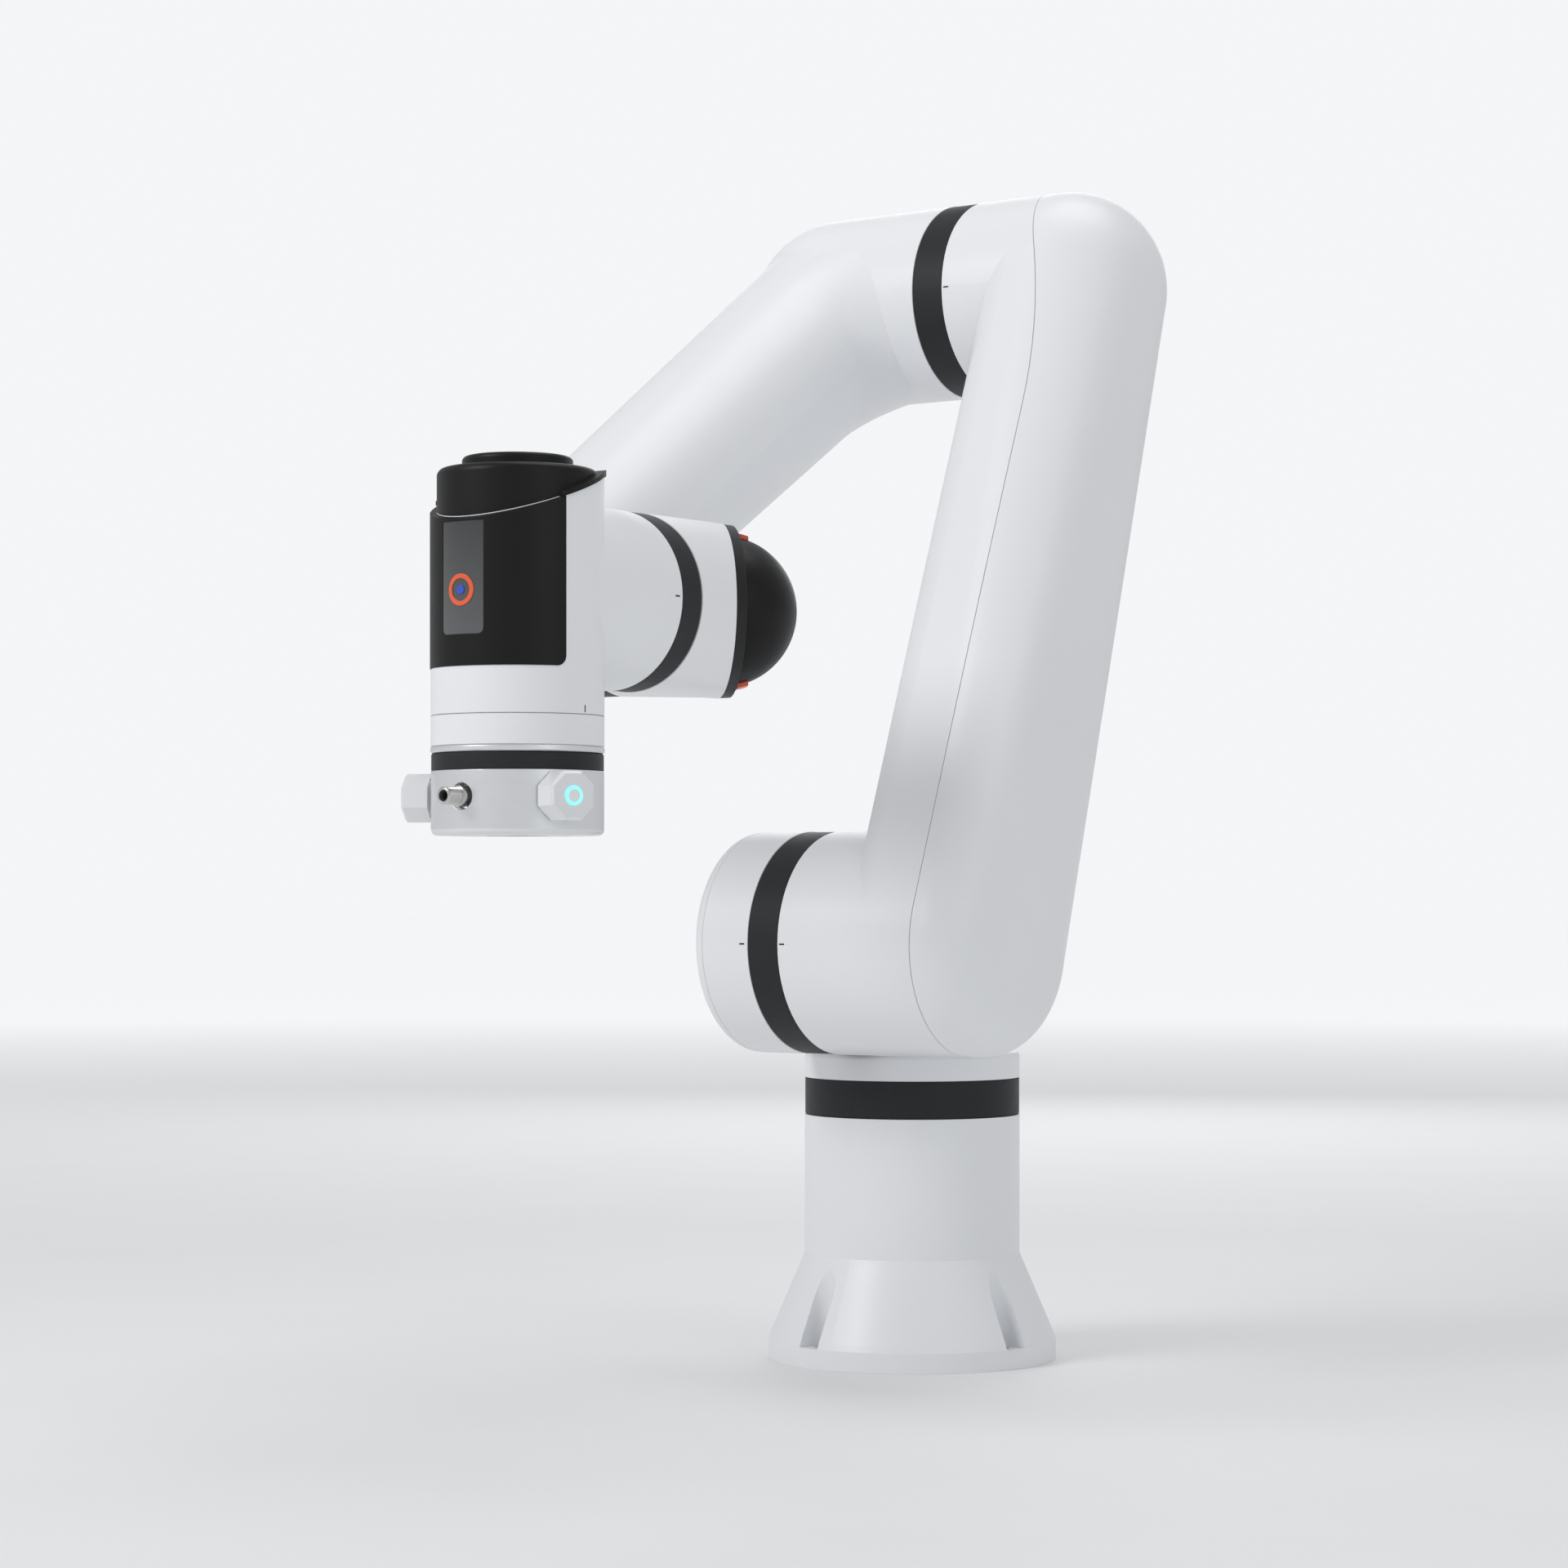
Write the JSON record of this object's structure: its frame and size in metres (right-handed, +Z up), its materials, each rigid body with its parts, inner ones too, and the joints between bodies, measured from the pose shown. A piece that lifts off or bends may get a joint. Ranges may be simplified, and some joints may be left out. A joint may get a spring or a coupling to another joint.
{
  "type": "collaborative robot arm",
  "caption": "Multi-joint collaborative robot arm on a round bolted base, with smooth white links, dark joint seals, a wrist display and a tool flange with lit push buttons.",
  "frame": {"origin": "centre of the base's underside, on the first joint's axis", "axes": "+Z up along the first joint's axis, +X toward the tool in the rest pose, +Y toward the side that the upper arm is on"},
  "size_m": [0.6156, 0.2823, 0.7091],
  "materials": {
    "white_paint": "smooth satin white paint over cast aluminium",
    "black_satin": "satin black moulded plastic",
    "black_plastic": "matt black plastic",
    "screen_face": "smoked grey display window",
    "orange_trim": "orange gloss plastic",
    "blue_trim": "blue gloss plastic",
    "satin_silver": "fine-turned satin aluminium",
    "housing_grey": "pale grey moulded plastic",
    "cyan_light": "translucent lit ring",
    "button_white": "white moulded plastic",
    "nickel_plate": "nickel-plated connector shell",
    "cover_plate": "plain sheet",
    "seal_black": "matt dark seal",
    "motor_can": "turned motor housing",
    "gear_steel": "ground steel",
    "hub_aluminium": "machined flange",
    "circuit_board": "green circuit board"
  },
  "bodies": {
    "base": {"base_housing": "white_paint", "base_bottom_cover": "cover_plate", "base_connector_panel": "black_plastic", "base_power_socket": "nickel_plate", "base_data_socket": "nickel_plate", "joint_1_motor": "motor_can", "joint_1_gearbox": "gear_steel", "joint_1_controller": "circuit_board"},
    "shoulder": {"shoulder_housing": "white_paint", "shoulder_end_cap": "white_paint", "joint_1_output_hub": "hub_aluminium", "joint_1_seal_ring": "seal_black", "joint_2_output_hub": "hub_aluminium", "joint_2_seal_ring": "seal_black"},
    "upper_arm": {"upper_arm_housing": "white_paint", "upper_arm_cover": "white_paint", "joint_2_motor": "motor_can", "joint_2_gearbox": "gear_steel", "joint_2_controller": "circuit_board", "joint_3_motor": "motor_can", "joint_3_gearbox": "gear_steel", "joint_3_controller": "circuit_board"},
    "forearm": {"forearm_housing": "white_paint", "joint_3_output_hub": "hub_aluminium", "joint_3_seal_ring": "seal_black", "joint_4_motor": "motor_can", "joint_4_gearbox": "gear_steel"},
    "wrist_1": {"wrist_1_housing": "white_paint", "wrist_1_cap": "black_satin", "wrist_1_accents": "orange_trim", "joint_4_output_hub": "hub_aluminium", "joint_4_seal_ring": "seal_black", "joint_5_motor": "motor_can", "joint_5_gearbox": "gear_steel"},
    "wrist_2": {"wrist_2_housing": "white_paint", "wrist_2_cover": "black_satin", "wrist_2_screen": "screen_face", "wrist_2_emblem_ring": "orange_trim", "wrist_2_emblem_dot": "blue_trim", "wrist_2_cap": "black_satin", "wrist_2_lower_shell": "white_paint", "wrist_2_trim_ring": "satin_silver", "joint_5_output_hub": "hub_aluminium", "joint_5_seal_ring": "seal_black", "joint_6_motor": "motor_can", "joint_6_gearbox": "gear_steel"},
    "tool_flange": {"tool_flange": "satin_silver", "button_housing_left": "housing_grey", "button_housing_right": "housing_grey", "light_ring_left": "cyan_light", "light_ring_right": "cyan_light", "tool_connector": "nickel_plate", "joint_6_output_hub": "hub_aluminium", "joint_6_seal_ring": "seal_black"},
    "button_left": {"push_button_left": "button_white"},
    "button_right": {"push_button_right": "button_white"}
  },
  "joints": [
    {"name": "joint_1", "type": "hinge", "parent": "base", "child": "shoulder", "pos_m": [0, 0, 0.1487], "axis": [0, 0, 1], "range_deg": [-175, 175]},
    {"name": "joint_2", "type": "hinge", "parent": "shoulder", "child": "upper_arm", "pos_m": [0.0975, 0.0165, 0.2542], "axis": [0, 1, 0], "range_deg": [-65, 75]},
    {"name": "joint_3", "type": "hinge", "parent": "upper_arm", "child": "forearm", "pos_m": [-0.04649, 0.03, 0.64981], "axis": [0, 1, 0], "range_deg": [-240, 15]},
    {"name": "joint_4", "type": "hinge", "parent": "forearm", "child": "wrist_1", "pos_m": [0.2817, -0.02, 0.436], "axis": [0, -1, 0], "range_deg": [-75, 100]},
    {"name": "joint_5", "type": "hinge", "parent": "wrist_1", "child": "wrist_2", "pos_m": [0.3603, 0.065, 0.436], "axis": [1, 0, 0], "range_deg": [-175, 175]},
    {"name": "joint_6", "type": "hinge", "parent": "wrist_2", "child": "tool_flange", "pos_m": [0.4528, 0.065, 0.354], "axis": [0, 0, -1], "range_deg": [-175, 175]},
    {"name": "button_left_press", "type": "slide", "parent": "tool_flange", "child": "button_left", "axis": [-0.3746, -0.9272, 0], "range_m": [0, 0.0015], "stiffness_N_per_m": 400, "springref_m": -0.002},
    {"name": "button_right_press", "type": "slide", "parent": "tool_flange", "child": "button_right", "axis": [-0.3746, 0.9272, 0], "range_m": [0, 0.0015], "stiffness_N_per_m": 400, "springref_m": -0.002}
  ]
}
